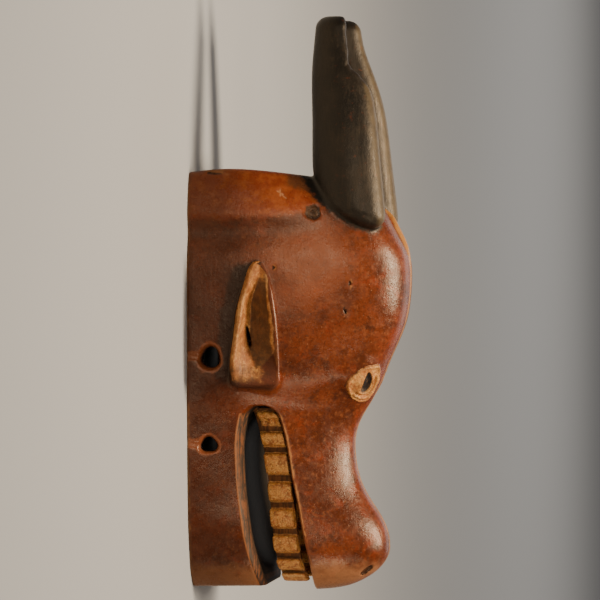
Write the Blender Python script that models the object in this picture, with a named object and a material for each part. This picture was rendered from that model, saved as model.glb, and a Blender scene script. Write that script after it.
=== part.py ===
"""A horned animal mask, carved from one block of wood and lying on its flat, hollow back.

Sizes are in metres. +Z is the way the face looks, +Y the way the horns point, and -X the
mask's own right cheek. Heights are measured up the mask from the end of its snout, and
depths from its flat back.
"""

import math

import bmesh
import bpy
import numpy as np

MM = 0.001

# Head
HEAD_HEIGHT = 309 * MM
HEAD_DEPTH = 155 * MM
HEAD_WIDTH = 148 * MM
TOP_SLOPE = 0.05
MUZZLE_ROUND = 32 * MM
HEAD_ROWS = 39
HEAD_COLUMNS = 40
SNOUT_HEIGHTS = tuple(share * MUZZLE_ROUND for share in (0, 0.012, 0.05, 0.11, 0.20))

# Each row: height, depth of the front, half-width at the back and at the front, squareness.
# The first is a share of the head's height, the next three of its depth and half its width.
HEAD_SECTIONS = (
    (0.000, 0.893, 0.60, 0.46, 2.6),  # end of the snout
    (0.045, 0.893, 0.78, 0.50, 2.6),
    (0.111, 0.897, 0.88, 0.53, 2.6),  # tip of the nose
    (0.163, 0.871, 0.93, 0.52, 2.5),
    (0.218, 0.803, 0.95, 0.49, 2.4),
    (0.280, 0.748, 0.97, 0.46, 2.3),
    (0.336, 0.732, 0.98, 0.44, 2.3),  # narrowest part of the bridge
    (0.394, 0.747, 0.99, 0.43, 2.3),
    (0.453, 0.786, 1.00, 0.45, 2.3),
    (0.500, 0.845, 1.00, 0.57, 2.7),  # eyes
    (0.552, 0.898, 1.00, 0.64, 2.8),
    (0.620, 0.959, 1.00, 0.69, 2.9),
    (0.733, 1.001, 1.00, 0.73, 3.0),  # forehead
    (0.814, 0.981, 0.98, 0.75, 3.0),
    (0.860, 0.947, 0.955, 0.75, 3.0),  # hollow below the collar
    (0.894, 0.909, 0.975, 0.75, 3.0),
    (0.919, 0.860, 0.965, 0.74, 3.0),  # foot of the crest
    (0.954, 0.755, 0.94, 0.74, 3.0),
    (1.000, 0.610, 0.88, 0.74, 3.0),  # top of the collar
)

# Crest between the horns
CREST_WIDTH = 9 * MM
CREST_RISE = 2.6 * MM
CREST_LENGTH = 48 * MM
CREST_TOP = 0.918
CREST_SINK = 0.6 * MM

# Hollow back
WALL = 13 * MM
HOLLOW_DEPTH = 0.595 * HEAD_DEPTH
HOLLOW_SQUARENESS = 3.4
HOLLOW_ROUND = 26 * MM
JAW_FLOOR = 10 * MM

# Mouth, in shares of the head's height and depth: the lower jaw's front, the upper lip and
# the free edge of the teeth.
MOUTH_TOP = 0.446
MOUTH_ROUND = 9 * MM
CHIN_RISE = 5 * MM
JAW_FRONT = ((0.000, 0.345), (0.055, 0.322), (0.093, 0.303), (0.140, 0.284), (0.186, 0.271),
             (0.235, 0.258), (0.313, 0.247), (0.375, 0.248), (0.437, 0.270))
LIP = ((0.000, 0.555), (0.060, 0.550), (0.127, 0.526), (0.215, 0.490), (0.287, 0.458),
       (0.330, 0.445), (0.370, 0.432), (0.410, 0.413), (0.456, 0.387))
TOOTH_EDGE = ((0.028, 0.412), (0.085, 0.385), (0.163, 0.366), (0.228, 0.350), (0.303, 0.334),
              (0.375, 0.306), (0.410, 0.290), (0.437, 0.274))
TROUGH_DEPTH = 8 * MM
TROUGH_ROUND = 22 * MM
JAW_LIP = 13 * MM

# Teeth, from the snout upwards: the lower and upper end of each, in shares of the head's height
TOOTH_ENDS = ((0.0245, 0.0450), (0.0535, 0.0805), (0.0985, 0.1375), (0.1555, 0.1995),
              (0.2175, 0.2615), (0.2810, 0.3305), (0.3490, 0.3820))
TOOTH_THICKNESS = 13 * MM
TOOTH_INSET = 4 * MM
TOOTH_ROUND = 1.2 * MM
GUM_INSET = 3.5 * MM
GUM_EDGE = 2.0 * MM
GUM_TOP = 0.448

# Horns. Each row: share of the length, place of the centre across and from the back as shares
# of half the head's width and of its depth, then shares of the thickness and the breadth.
HORN_FOOT = 0.871 * HEAD_HEIGHT
HORN_LENGTH = 155.5 * MM
HORN_THICKNESS = 35 * MM
HORN_BREADTH = 51 * MM
HORN_ROWS = (
    (0.000, 0.514, 0.772, 0.86, 0.79),
    (0.071, 0.507, 0.757, 0.96, 0.91),
    (0.174, 0.493, 0.735, 1.00, 1.00),
    (0.315, 0.470, 0.720, 0.99, 0.99),
    (0.457, 0.435, 0.711, 0.94, 0.95),
    (0.598, 0.388, 0.697, 0.87, 0.90),
    (0.740, 0.330, 0.674, 0.79, 0.78),
    (0.862, 0.277, 0.655, 0.70, 0.63),
    (1.000, 0.243, 0.649, 0.62, 0.53),
)
HORN_BASE_ROUND = 15 * MM
HORN_TIP_ROUND = 9 * MM
HORN_END_FLAT = 0.25 * MM
HORN_TILT = 0.28
HORN_SIDES = 22
HORN_STEPS = 20
CHIP_START = 0.76
CHIP_OFFSET = 8 * MM
CHIP_RUN = 15 * MM
CHIP_DROP = 14 * MM

# Ears, as boat-shaped leaves with a hollow
EAR_FOOT = 0.492 * HEAD_HEIGHT
EAR_LENGTH = 91 * MM
EAR_WIDTH = 37 * MM
EAR_PLACE = 0.333 * HEAD_DEPTH
EAR_STAND = 13 * MM
EAR_TURN = math.radians(29)
EAR_KEEL = 24 * MM
EAR_WALL = 4.5 * MM
EAR_BOWL = 11 * MM
EAR_OUTLINE = ((0.00, 0.30), (0.03, 0.66), (0.09, 0.90), (0.18, 0.99), (0.30, 1.00), (0.46, 0.92),
               (0.61, 0.78), (0.76, 0.58), (0.90, 0.33), (1.00, 0.08))

# Eyes, nostrils and lashing holes
EYE_HEIGHT = 0.497 * HEAD_HEIGHT
EYE_DEPTH = 0.782 * HEAD_DEPTH
EYE_LENGTH = 37 * MM
EYE_BREADTH = 29 * MM
EYE_RISE = 3 * MM
EYE_ROLL = math.radians(38)
PUPIL_LENGTH = 17 * MM
PUPIL_BREADTH = 5 * MM
PUPIL_DEPTH = 3 * MM
PUPIL_ROLL = math.radians(62)
NOSTRIL_HEIGHT = 0.050 * HEAD_HEIGHT
NOSTRIL_DEPTH = 0.800 * HEAD_DEPTH
NOSTRIL_LENGTH = 11 * MM
NOSTRIL_BREADTH = 3 * MM
NOSTRIL_ROLL = math.radians(38)
HOLE_SETBACK = 16 * MM
UPPER_HOLE_HEIGHT = 0.560 * HEAD_HEIGHT
LOWER_HOLE_HEIGHT = 0.356 * HEAD_HEIGHT
UPPER_HOLE_WIDTH = 14 * MM
LOWER_HOLE_WIDTH = 11.5 * MM
HOLE_SIDES = 14

CUT_OVERRUN = 8 * MM
EMBED = 6 * MM
OVERALL_HEIGHT = HORN_FOOT + HORN_LENGTH

RIGHT = -1
LEFT = 1


def smooth(places, values):
    """A natural cubic spline through the values, level beyond the first and the last place."""
    place = np.array(places, float)
    value = np.array(values, float)
    step = np.diff(place)
    slope = np.diff(value) / step
    system = np.eye(len(place))
    right = np.zeros(len(place))
    for i in range(1, len(place) - 1):
        system[i, i - 1:i + 2] = step[i - 1], 2 * (step[i - 1] + step[i]), step[i]
        right[i] = 6 * (slope[i] - slope[i - 1])
    bend = np.linalg.solve(system, right)

    def at(where):
        where = min(max(where, place[0]), place[-1])
        i = min(int(np.searchsorted(place, where, side="right")), len(place) - 1) - 1
        after = (where - place[i]) / step[i]
        before = 1 - after
        straight = before * value[i] + after * value[i + 1]
        curved = (before ** 3 - before) * bend[i] + (after ** 3 - after) * bend[i + 1]
        return straight + curved * step[i] ** 2 / 6

    return at


def scaled(points, across, along):
    """The spline through (share, share) points, as real sizes."""
    return smooth([a * across for a, _ in points], [b * along for _, b in points])


HEAD_COLUMN = [smooth([row[0] for row in HEAD_SECTIONS], [row[n] for row in HEAD_SECTIONS])
               for n in range(1, 5)]
jaw_front = scaled(JAW_FRONT, HEAD_HEIGHT, HEAD_DEPTH)
lip = scaled(LIP, HEAD_HEIGHT, HEAD_DEPTH)
tooth_edge = scaled(TOOTH_EDGE, HEAD_HEIGHT, HEAD_DEPTH)
mouth_top = MOUTH_TOP * HEAD_HEIGHT


def place(x, height, depth):
    """A point of the mask, with the origin under the middle of its whole length."""
    return (x, height - OVERALL_HEIGHT / 2, depth)


def rounding(distance, radius):
    """1 away from an end, falling to 0 at the end as a quarter circle."""
    share = min(max(distance / radius, 0), 1)
    return math.sqrt(1 - (1 - share) ** 2)


def head_section(height):
    """Front depth, half-width at the back and at the front, and squareness at a height."""
    depth, back, front, square = (column(height / HEAD_HEIGHT) for column in HEAD_COLUMN)
    end = rounding(height, MUZZLE_ROUND)
    shallow = lip(0)
    depth = shallow + (depth * HEAD_DEPTH - shallow) * end
    front = front * (0.55 + 0.45 * end)
    return depth, back * HEAD_WIDTH / 2, front * HEAD_WIDTH / 2, square


def half_width(height, depth):
    """Distance from the middle to the head's side at a height and depth."""
    front_depth, back, front, square = head_section(height)
    share = min(max(depth / front_depth, 0), 1)
    return (back + (front - back) * share) * (1 - share ** square) ** (1 / square)


def solid(name, rings, closed_ends=True):
    """A closed mesh through rings of points, each ring joined to the next."""
    mesh = bpy.data.meshes.new(name)
    bm = bmesh.new()
    loops = [[bm.verts.new(point) for point in ring] for ring in rings]
    for lower, upper in zip(loops, loops[1:]):
        count = len(lower)
        for i in range(count):
            j = (i + 1) % count
            bm.faces.new((lower[i], lower[j], upper[j], upper[i]))
    if closed_ends:
        bm.faces.new(loops[0][::-1])
        bm.faces.new(loops[-1])
    bmesh.ops.recalc_face_normals(bm, faces=bm.faces)
    bm.to_mesh(mesh)
    bm.free()
    made = bpy.data.objects.new(name, mesh)
    bpy.context.scene.collection.objects.link(made)
    return made


def guide(made):
    """Marks a shape that only adds to or cuts the mask."""
    made.hide_render = True
    made.display_type = "WIRE"
    return made


def combine(mask, shape, operation):
    modifier = mask.modifiers.new(f"{operation.lower()} {shape.name}", "BOOLEAN")
    modifier.operation = operation
    modifier.object = guide(shape)


def spaced(low, high, count):
    """Heights from low to high, closer together at both ends."""
    turns = np.linspace(0, math.pi, count)
    return low + (high - low) * (1 - np.cos(turns)) / 2


def head_ring(height):
    """The head's outline at a height, from the left edge of its back round the front."""
    depth, back, front, square = head_section(height)
    ring = []
    for turn in np.linspace(0, math.pi, HEAD_COLUMNS):
        share = abs(math.sin(turn)) ** (2 / square)
        across = math.copysign(abs(math.cos(turn)) ** (2 / square), math.cos(turn))
        z = depth * share
        drop = TOP_SLOPE * z * max(0, height / HEAD_HEIGHT - CREST_TOP) / (1 - CREST_TOP)
        ring.append(place((back + (front - back) * share) * across, height - drop, z))
    return ring


def head():
    rows = [*SNOUT_HEIGHTS, *np.linspace(0.3 * MUZZLE_ROUND, HEAD_HEIGHT, HEAD_ROWS)]
    return solid("mask", [head_ring(height) for height in rows])


def crest():
    """A narrow ridge down the forehead, from a point between the horns."""
    top = CREST_TOP * HEAD_HEIGHT
    rings = []
    for share in np.linspace(0, 1, 9):
        height = top - CREST_LENGTH * share
        front = head_section(height)[0]
        side = CREST_WIDTH / 2 * (0.35 + 0.65 * math.sin(math.pi * min(share * 1.4, 0.5)))
        rise = CREST_RISE * (0.04 + 0.96 * (1 - share) ** 0.7)
        rings.append([
            place(side, height, front - CREST_SINK),
            place(0, height, front + rise),
            place(-side, height, front - CREST_SINK),
            place(-side, height, front - EMBED),
            place(side, height, front - EMBED),
        ])
    return solid("crest", rings)


def hollow_depth_at():
    """How deep the hollow back is at each height: a shallow tray behind the jaw, a bowl above."""
    jaw = [(height, jaw_front(height) - TROUGH_DEPTH - JAW_FLOOR)
           for height in np.linspace(WALL, mouth_top, 5)]
    bowl = [(mouth_top + share * (HEAD_HEIGHT - mouth_top), HOLLOW_DEPTH * deep)
            for share, deep in ((0.22, 0.78), (0.42, 0.99), (0.62, 1.0), (0.80, 0.86), (0.93, 0.60))]
    return smooth(*zip(*jaw, *bowl))


def hollow():
    """What the carver scooped out of the back."""
    deep = hollow_depth_at()
    rings = []
    for height in spaced(WALL, HEAD_HEIGHT - WALL, 22):
        end = min(rounding(height - WALL, HOLLOW_ROUND),
                  rounding(HEAD_HEIGHT - WALL - height, HOLLOW_ROUND))
        side = (half_width(height, 0) - WALL) * (0.55 + 0.45 * end)
        depth = deep(height) * (0.5 + 0.5 * end)
        ring = [place(side, height, -CUT_OVERRUN)]
        for turn in np.linspace(0.1, math.pi - 0.1, 21):
            share = math.sin(turn) ** (2 / HOLLOW_SQUARENESS)
            across = math.copysign(abs(math.cos(turn)) ** (2 / HOLLOW_SQUARENESS), math.cos(turn))
            ring.append(place(side * across, height, depth * share))
        ring.append(place(-side, height, -CUT_OVERRUN))
        rings.append(ring)
    return solid("hollow", rings)


def mouth():
    """The gap between the jaws, open at both sides and below, and the chin's underside."""
    rise = np.linspace(CHIN_RISE, mouth_top - MOUTH_ROUND, 14)
    down = np.linspace(mouth_top - MOUTH_ROUND, 0, 14)
    outline = [(-CUT_OVERRUN, -CUT_OVERRUN), (-CUT_OVERRUN, CHIN_RISE)]
    outline += [(jaw_front(height), height) for height in rise]
    start, end = jaw_front(rise[-1]), lip(down[0])
    for turn in np.linspace(0, math.pi, 9)[1:-1]:
        outline.append(((start + end) / 2 - (end - start) / 2 * math.cos(turn),
                        rise[-1] + MOUTH_ROUND * math.sin(turn)))
    outline += [(lip(height), height) for height in down]
    outline.append((lip(0), -CUT_OVERRUN))
    reach = HEAD_WIDTH / 2 + CUT_OVERRUN
    return solid("mouth", [[place(x, height, depth) for depth, height in outline]
                           for x in (-reach, reach)])


def trough():
    """The scooped floor of the lower jaw, inside its lips."""
    low = CHIN_RISE + JAW_LIP
    high = mouth_top - MOUTH_ROUND
    rings = []
    for height in spaced(low, high, 12):
        end = min(rounding(height - low, TROUGH_ROUND), rounding(high - height, TROUGH_ROUND))
        front = jaw_front(height)
        side = (half_width(height, front) - JAW_LIP) * (0.35 + 0.65 * end)
        ring = [place(side, height, front + EMBED)]
        for turn in np.linspace(0, math.pi, 11):
            depth = front - TROUGH_DEPTH * (0.1 + 0.9 * end) * math.sin(turn)
            ring.append(place(side * math.cos(turn), height, depth))
        ring.append(place(-side, height, front + EMBED))
        rings.append(ring)
    return solid("trough", rings)


def tooth_face(height):
    """Distance from the middle to the outer face of the teeth."""
    return half_width(height, lip(height)) - TOOTH_INSET


def gum(side):
    """The strip that the teeth stand on, set back from them."""
    rings = []
    for height in np.linspace(TOOTH_ENDS[0][0] * HEAD_HEIGHT + GUM_EDGE,
                              GUM_TOP * HEAD_HEIGHT, 14):
        outer = tooth_face(height) - GUM_INSET
        inner = outer - TOOTH_THICKNESS + 2 * GUM_INSET
        free = tooth_edge(height) + GUM_EDGE
        root = lip(height) + EMBED
        rings.append([place(side * x, height, depth)
                      for x, depth in ((outer, free), (outer, root), (inner, root), (inner, free))])
    return solid(f"gum_{side}", rings)


def tooth(side, number):
    rings = []
    for height in (end * HEAD_HEIGHT for end in TOOTH_ENDS[number]):
        outer = tooth_face(height)
        inner = outer - TOOTH_THICKNESS
        free = tooth_edge(height)
        root = lip(height) + EMBED
        rings.append([place(side * x, height, depth)
                      for x, depth in ((outer, free), (outer, root), (inner, root), (inner, free))])
    made = solid(f"tooth_{side}_{number}", rings)
    bevel = made.modifiers.new("worn edges", "BEVEL")
    bevel.width = TOOTH_ROUND
    bevel.segments = 1
    return made


def horn_column(number, size):
    """One column of the horn's rows as real sizes, read by height."""
    heights = [HORN_FOOT + row[0] * HORN_LENGTH for row in HORN_ROWS]
    return smooth(heights, [row[number] * size for row in HORN_ROWS])


horn_across = horn_column(1, HEAD_WIDTH / 2)
horn_depth = horn_column(2, HEAD_DEPTH)
horn_thick = horn_column(3, HORN_THICKNESS / 2)
horn_broad = horn_column(4, HORN_BREADTH / 2)


def horn(side):
    """One horn: tilted ovals from its rounded foot on the brow to its blunt tip."""
    rings = []
    for height in spaced(HORN_FOOT, OVERALL_HEIGHT, HORN_STEPS + 1):
        above = height - HORN_FOOT
        below = OVERALL_HEIGHT - height
        end = min(rounding(above + HORN_END_FLAT, HORN_BASE_ROUND),
                  rounding(below + HORN_END_FLAT, HORN_TIP_ROUND))
        tilt = HORN_TILT * below / HORN_LENGTH
        ring = []
        for turn in np.linspace(0, 2 * math.pi, HORN_SIDES, endpoint=False):
            across = horn_thick(height) * end * math.cos(turn)
            along = horn_broad(height) * end * math.sin(turn)
            ring.append(place(side * (horn_across(height) + across), height - tilt * along,
                              horn_depth(height) + along))
        rings.append(ring)
    return solid(f"horn_{side}", rings)


def horn_chip():
    """The slab that broke off the front of the right horn, above a sloping ledge."""
    foot = HORN_FOOT + CHIP_START * HORN_LENGTH
    top = OVERALL_HEIGHT + CUT_OVERRUN
    behind = horn_depth(foot) + CHIP_OFFSET
    front = behind + CHIP_RUN
    clear = front + HORN_BREADTH
    outline = ((behind, top), (behind, foot), (front, foot - CHIP_DROP),
               (clear, foot - CHIP_DROP), (clear, top))
    return solid("horn_chip", [[place(RIGHT * x, height, depth) for depth, height in outline]
                               for x in (0, HEAD_WIDTH / 2)])


def ear_shape(name, side, keel, width, low, high, outward):
    """A boat-shaped leaf whose open side faces outwards and a little to the front."""
    outline = smooth(*zip(*EAR_OUTLINE))
    rings = []
    for height in spaced(low, high, 13):
        breadth = outline((height - low) / (high - low)) * width / 2
        middle = half_width(height, EAR_PLACE) + EAR_STAND
        fullness = min(1, breadth / (width / 2) + 0.25)
        ring = []
        for turn in np.linspace(0, math.pi, 10):
            across = breadth * math.cos(turn)
            inward = keel * fullness * math.sin(turn)
            ring.append((across, inward))
        if outward:
            ring = [(breadth, -outward)] + ring + [(-breadth, -outward)]
        rings.append([place(side * (middle - inward * math.cos(EAR_TURN) - across * math.sin(EAR_TURN)),
                            height,
                            EAR_PLACE - inward * math.sin(EAR_TURN) + across * math.cos(EAR_TURN))
                      for across, inward in ring])
    return solid(name, rings)


def ear(side):
    return ear_shape(f"ear_{side}", side, EAR_KEEL, EAR_WIDTH, EAR_FOOT, EAR_FOOT + EAR_LENGTH, 0)


def ear_bowl(side):
    return ear_shape(f"ear_bowl_{side}", side, EAR_BOWL, EAR_WIDTH - 2 * EAR_WALL,
                     EAR_FOOT + 2 * EAR_WALL, EAR_FOOT + EAR_LENGTH - 2 * EAR_WALL, CUT_OVERRUN)


def surface_axes(side, height, depth):
    """A point on the head's side, with its outward, upward and forward directions there."""
    step = HEAD_HEIGHT / 150
    here = np.array(place(side * half_width(height, depth), height, depth))
    up = np.array(place(side * half_width(height + step, depth), height + step, depth)) - here
    forward = np.array(place(side * half_width(height, depth + step), height, depth + step)) - here
    outward = np.cross(up, forward) * side
    outward /= np.linalg.norm(outward)
    forward /= np.linalg.norm(forward)
    up = np.cross(forward, outward) * side
    return here, outward, up, forward


def lens(name, side, height, depth, length, breadth, rise, sink, roll, sides=18):
    """A pointed oval standing by rise out of the head's side and sinking by sink into it."""
    here, outward, up, forward = surface_axes(side, height, depth)
    long_way = math.cos(roll) * forward + math.sin(roll) * up
    short_way = -math.sin(roll) * forward + math.cos(roll) * up
    rings = []
    for share, level in ((1.0, -sink), (1.0, 0.3 * rise), (0.8, rise), (0.35, rise)):
        ring = []
        for turn in np.linspace(0, 2 * math.pi, sides, endpoint=False):
            along = length / 2 * math.copysign(abs(math.cos(turn)) ** 1.15, math.cos(turn))
            across = breadth / 2 * math.copysign(abs(math.sin(turn)) ** 1.25, math.sin(turn))
            ring.append(tuple(here + outward * level + share * (long_way * along + short_way * across)))
        rings.append(ring)
    return solid(name, rings)


def eye(side):
    return lens(f"eye_{side}", side, EYE_HEIGHT, EYE_DEPTH, EYE_LENGTH, EYE_BREADTH, EYE_RISE,
                2 * EMBED, EYE_ROLL)


def pupil(side):
    return lens(f"pupil_{side}", side, EYE_HEIGHT, EYE_DEPTH, PUPIL_LENGTH, PUPIL_BREADTH,
                EYE_RISE + CUT_OVERRUN, PUPIL_DEPTH - EYE_RISE, PUPIL_ROLL, 10)


def nostril(side):
    return lens(f"nostril_{side}", side, NOSTRIL_HEIGHT, NOSTRIL_DEPTH, NOSTRIL_LENGTH,
                NOSTRIL_BREADTH, CUT_OVERRUN, 3 * MM, NOSTRIL_ROLL, 10)


def lashing_hole(side, height, width, name):
    """A hole through the side wall, for the cord that ties the mask on."""
    rings = []
    for x in (HEAD_WIDTH / 2 - 3 * WALL, HEAD_WIDTH / 2 + CUT_OVERRUN):
        rings.append([place(side * x, height + width / 2 * math.sin(turn),
                            HOLE_SETBACK + width / 2 * math.cos(turn))
                      for turn in np.linspace(0, 2 * math.pi, HOLE_SIDES, endpoint=False)])
    return solid(f"{name}_{side}", rings)


def carved_wood():
    """Red ochre rubbed into the wood."""
    material = bpy.data.materials.new("red ochre on wood")
    material.use_nodes = True
    shader = material.node_tree.nodes["Principled BSDF"]
    shader.inputs["Base Color"].default_value = (0.20, 0.055, 0.022, 1)
    shader.inputs["Roughness"].default_value = 0.42
    shader.inputs["Metallic"].default_value = 0.0
    return material


def build():
    for leftover in list(bpy.data.objects):
        bpy.data.objects.remove(leftover)
    mask = head()
    mask.data.materials.append(carved_wood())
    combine(mask, mouth(), "DIFFERENCE")
    combine(mask, trough(), "DIFFERENCE")
    combine(mask, crest(), "UNION")
    for side in (RIGHT, LEFT):
        combine(mask, gum(side), "UNION")
        for number in range(len(TOOTH_ENDS)):
            combine(mask, tooth(side, number), "UNION")
        combine(mask, horn(side), "UNION")
        combine(mask, ear(side), "UNION")
        combine(mask, ear_bowl(side), "DIFFERENCE")
        combine(mask, eye(side), "UNION")
        combine(mask, pupil(side), "DIFFERENCE")
        combine(mask, nostril(side), "DIFFERENCE")
    combine(mask, horn_chip(), "DIFFERENCE")
    combine(mask, hollow(), "DIFFERENCE")
    for side in (RIGHT, LEFT):
        combine(mask, lashing_hole(side, UPPER_HOLE_HEIGHT, UPPER_HOLE_WIDTH, "upper_hole"),
                "DIFFERENCE")
        combine(mask, lashing_hole(side, LOWER_HOLE_HEIGHT, LOWER_HOLE_WIDTH, "lower_hole"),
                "DIFFERENCE")


build()
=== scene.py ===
"""A horned animal mask of carved, ochre-rubbed wood, lying face up on a pale floor.

The mask is built as one solid from a signed distance field, so that the horns, ears, teeth
and eyes grow out of the head as they do in a carving. Lengths inside the field are in
millimetres: x across, h up the mask from the end of its snout, z forward from its flat back.
"""

import math

import bmesh
import bpy
import numpy as np
from mathutils import Matrix, Vector

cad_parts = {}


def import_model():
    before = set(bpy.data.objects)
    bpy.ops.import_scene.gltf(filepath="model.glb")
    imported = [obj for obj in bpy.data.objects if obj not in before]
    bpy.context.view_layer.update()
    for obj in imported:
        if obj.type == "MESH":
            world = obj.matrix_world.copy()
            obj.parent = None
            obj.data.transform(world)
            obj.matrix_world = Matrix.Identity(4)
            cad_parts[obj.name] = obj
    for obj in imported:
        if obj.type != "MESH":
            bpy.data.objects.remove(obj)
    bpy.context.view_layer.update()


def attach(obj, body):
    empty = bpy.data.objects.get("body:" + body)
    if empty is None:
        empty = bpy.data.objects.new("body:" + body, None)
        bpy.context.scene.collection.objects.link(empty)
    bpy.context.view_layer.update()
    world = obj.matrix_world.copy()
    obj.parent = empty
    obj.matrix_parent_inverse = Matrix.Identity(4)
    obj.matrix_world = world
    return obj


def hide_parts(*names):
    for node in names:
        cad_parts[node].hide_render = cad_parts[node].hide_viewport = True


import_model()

MM = 0.001
LENGTH = 424.64
HEAD = 309.0
DEPTH = 155.0
HALF_WIDTH = 74.0

RIGHT = -1.0
LEFT = 1.0


# Smooth curves and blends

def spline(places, values):
    """A natural cubic spline, kept as a table so that it reads fast."""
    place = np.array(places, float)
    value = np.array(values, float)
    step = np.diff(place)
    slope = np.diff(value) / step
    system = np.eye(len(place))
    right = np.zeros(len(place))
    for i in range(1, len(place) - 1):
        system[i, i - 1:i + 2] = step[i - 1], 2 * (step[i - 1] + step[i]), step[i]
        right[i] = 6 * (slope[i] - slope[i - 1])
    bend = np.linalg.solve(system, right)
    at = np.linspace(place[0], place[-1], 1200)
    i = np.clip(np.searchsorted(place, at, side="right") - 1, 0, len(step) - 1)
    after = (at - place[i]) / step[i]
    before = 1 - after
    table = before * value[i] + after * value[i + 1]
    table += ((before ** 3 - before) * bend[i] + (after ** 3 - after) * bend[i + 1]) * step[i] ** 2 / 6
    return lambda where: np.interp(where, at, table)


def both(a, b, radius):
    """The overlap of two distances, with a fillet."""
    over = np.sqrt(np.maximum(radius + a, 0) ** 2 + np.maximum(radius + b, 0) ** 2)
    return np.minimum(-radius, np.maximum(a, b)) + over


def either(a, b, radius):
    """The union of two distances, with a fillet."""
    return -both(-a, -b, radius)


def without(a, b, radius):
    """The first distance with the second cut out of it."""
    return both(a, -b, radius)


def ramp(low, high, at):
    """0 below low, 1 above high, eased between."""
    share = np.clip((at - low) / (high - low), 0, 1)
    return share * share * (3 - 2 * share)


def oval(across, along, half_across, half_along):
    """Distance to an oval, true near its edge."""
    a = across / half_across
    b = along / half_along
    reach = np.sqrt(a * a + b * b) + 1e-9
    steep = np.sqrt((a / half_across) ** 2 + (b / half_along) ** 2) / reach + 1e-9
    return (reach - 1) / steep


def line(places, values, at):
    return np.interp(at, places, values)


# Measurements of the head: height, front depth, half-width at the back and front, squareness
SECTIONS = np.array((
    (0.000, 0.893, 0.60, 0.46, 2.6),
    (0.045, 0.893, 0.78, 0.50, 2.6),
    (0.111, 0.897, 0.88, 0.53, 2.6),
    (0.163, 0.871, 0.93, 0.52, 2.5),
    (0.218, 0.803, 0.95, 0.49, 2.4),
    (0.280, 0.748, 0.97, 0.46, 2.3),
    (0.336, 0.732, 0.98, 0.44, 2.3),
    (0.394, 0.747, 0.99, 0.43, 2.3),
    (0.453, 0.808, 1.00, 0.45, 2.3),
    (0.500, 0.855, 1.00, 0.57, 2.7),
    (0.552, 0.898, 1.00, 0.64, 2.8),
    (0.620, 0.959, 1.00, 0.69, 2.9),
    (0.733, 0.999, 1.00, 0.73, 3.0),
    (0.814, 0.981, 0.98, 0.75, 3.0),
    (0.860, 0.936, 0.955, 0.75, 3.0),
    (0.894, 0.899, 0.975, 0.75, 3.0),
    (0.919, 0.860, 0.965, 0.74, 3.0),
    (0.954, 0.755, 0.94, 0.74, 3.0),
    (1.000, 0.610, 0.88, 0.74, 3.0)))
MUZZLE_ROUND = 32.0
STEP = 0.25
head_at = np.arange(-12, HEAD + 12, STEP)
_share = np.clip(head_at / HEAD, 0, 1)
_end = np.sqrt(1 - np.clip(1 - head_at / MUZZLE_ROUND, 0, 1) ** 2)
SNOUT_DEPTH = 0.555 * DEPTH
_front, _back, _wide, _square = (spline(SECTIONS[:, 0], column)(_share) for column in SECTIONS.T[1:])
HEAD_TABLES = (
    SNOUT_DEPTH + (_front * DEPTH - SNOUT_DEPTH) * _end,
    _back * HALF_WIDTH,
    _wide * HALF_WIDTH * (0.55 + 0.45 * _end),
    _square,
)
SLOPE_TABLES = [np.gradient(values, STEP) for values in HEAD_TABLES[:3]]


def head_section(h, tables=HEAD_TABLES):
    """Front depth, half-width at the back and front, and squareness at a height."""
    return [np.interp(h, head_at, values) for values in tables]


def half_width(h, z):
    front, back, wide, square = head_section(h)
    share = np.clip(z / front, 0, 1)
    return (back + (wide - back) * share) * (1 - share ** square) ** (1 / square)


def profile(heights, depths):
    return spline(HEAD * np.array(heights), DEPTH * np.array(depths))


jaw_front = profile((0.000, 0.055, 0.093, 0.140, 0.186, 0.235, 0.313, 0.375, 0.437),
                    (0.345, 0.322, 0.303, 0.284, 0.271, 0.258, 0.247, 0.248, 0.270))
lip = profile((0.000, 0.060, 0.127, 0.215, 0.287, 0.330, 0.370, 0.410, 0.456),
              (0.555, 0.550, 0.526, 0.490, 0.458, 0.445, 0.432, 0.413, 0.387))
tooth_edge = profile((0.028, 0.085, 0.163, 0.228, 0.303, 0.375, 0.410, 0.437),
                     (0.412, 0.385, 0.366, 0.350, 0.334, 0.306, 0.290, 0.274))
MOUTH_TOP = 0.446 * HEAD
MOUTH_ROUND = 9.0
CHIN_RISE = 5.0
JAW_BEVEL = 4.2
JAW_BEVEL_DEPTH = 6.5


def head(x, h, z):
    """The solid head, before anything is cut from it or added."""
    across = np.abs(x)
    front, back, wide, square = head_section(h)
    share = np.clip(z, 0, None) / front
    width = back + (wide - back) * np.minimum(share, 1.15)
    a = across / width
    b = share
    reach = np.maximum((a ** square + b ** square) ** (1 / square), 0.05)
    pull_a = (a / reach) ** (square - 1)
    pull_b = (b / reach) ** (square - 1)
    front_slope, back_slope, wide_slope = head_section(h, SLOPE_TABLES)
    share_by_h = -share * front_slope / front
    width_by_h = back_slope * (1 - share) + wide_slope * share + (wide - back) * share_by_h
    by_x = pull_a / width
    by_z = pull_b / front - pull_a * a / width * (wide - back) / front
    by_h = pull_b * share_by_h - pull_a * a / width * width_by_h
    steep = np.sqrt(by_x ** 2 + by_z ** 2 + by_h ** 2)
    return np.clip((reach - 1) / np.maximum(steep, 1e-3), -60, 60)


# The collar's upper edge: crowned, and falling towards the horns
top_edge = spline((-20, 0, 25, 60, 94, 120), (306.6, 308.4, 310.6, 308.7, 304.6, 300.8))


def behind_jaw(h, z, inside):
    """How far a point is behind the jaw's front, which is bevelled near the cheek's surface."""
    return jaw_front(h) - JAW_BEVEL * np.clip(1 - inside / JAW_BEVEL_DEPTH, 0, 1) - z


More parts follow.
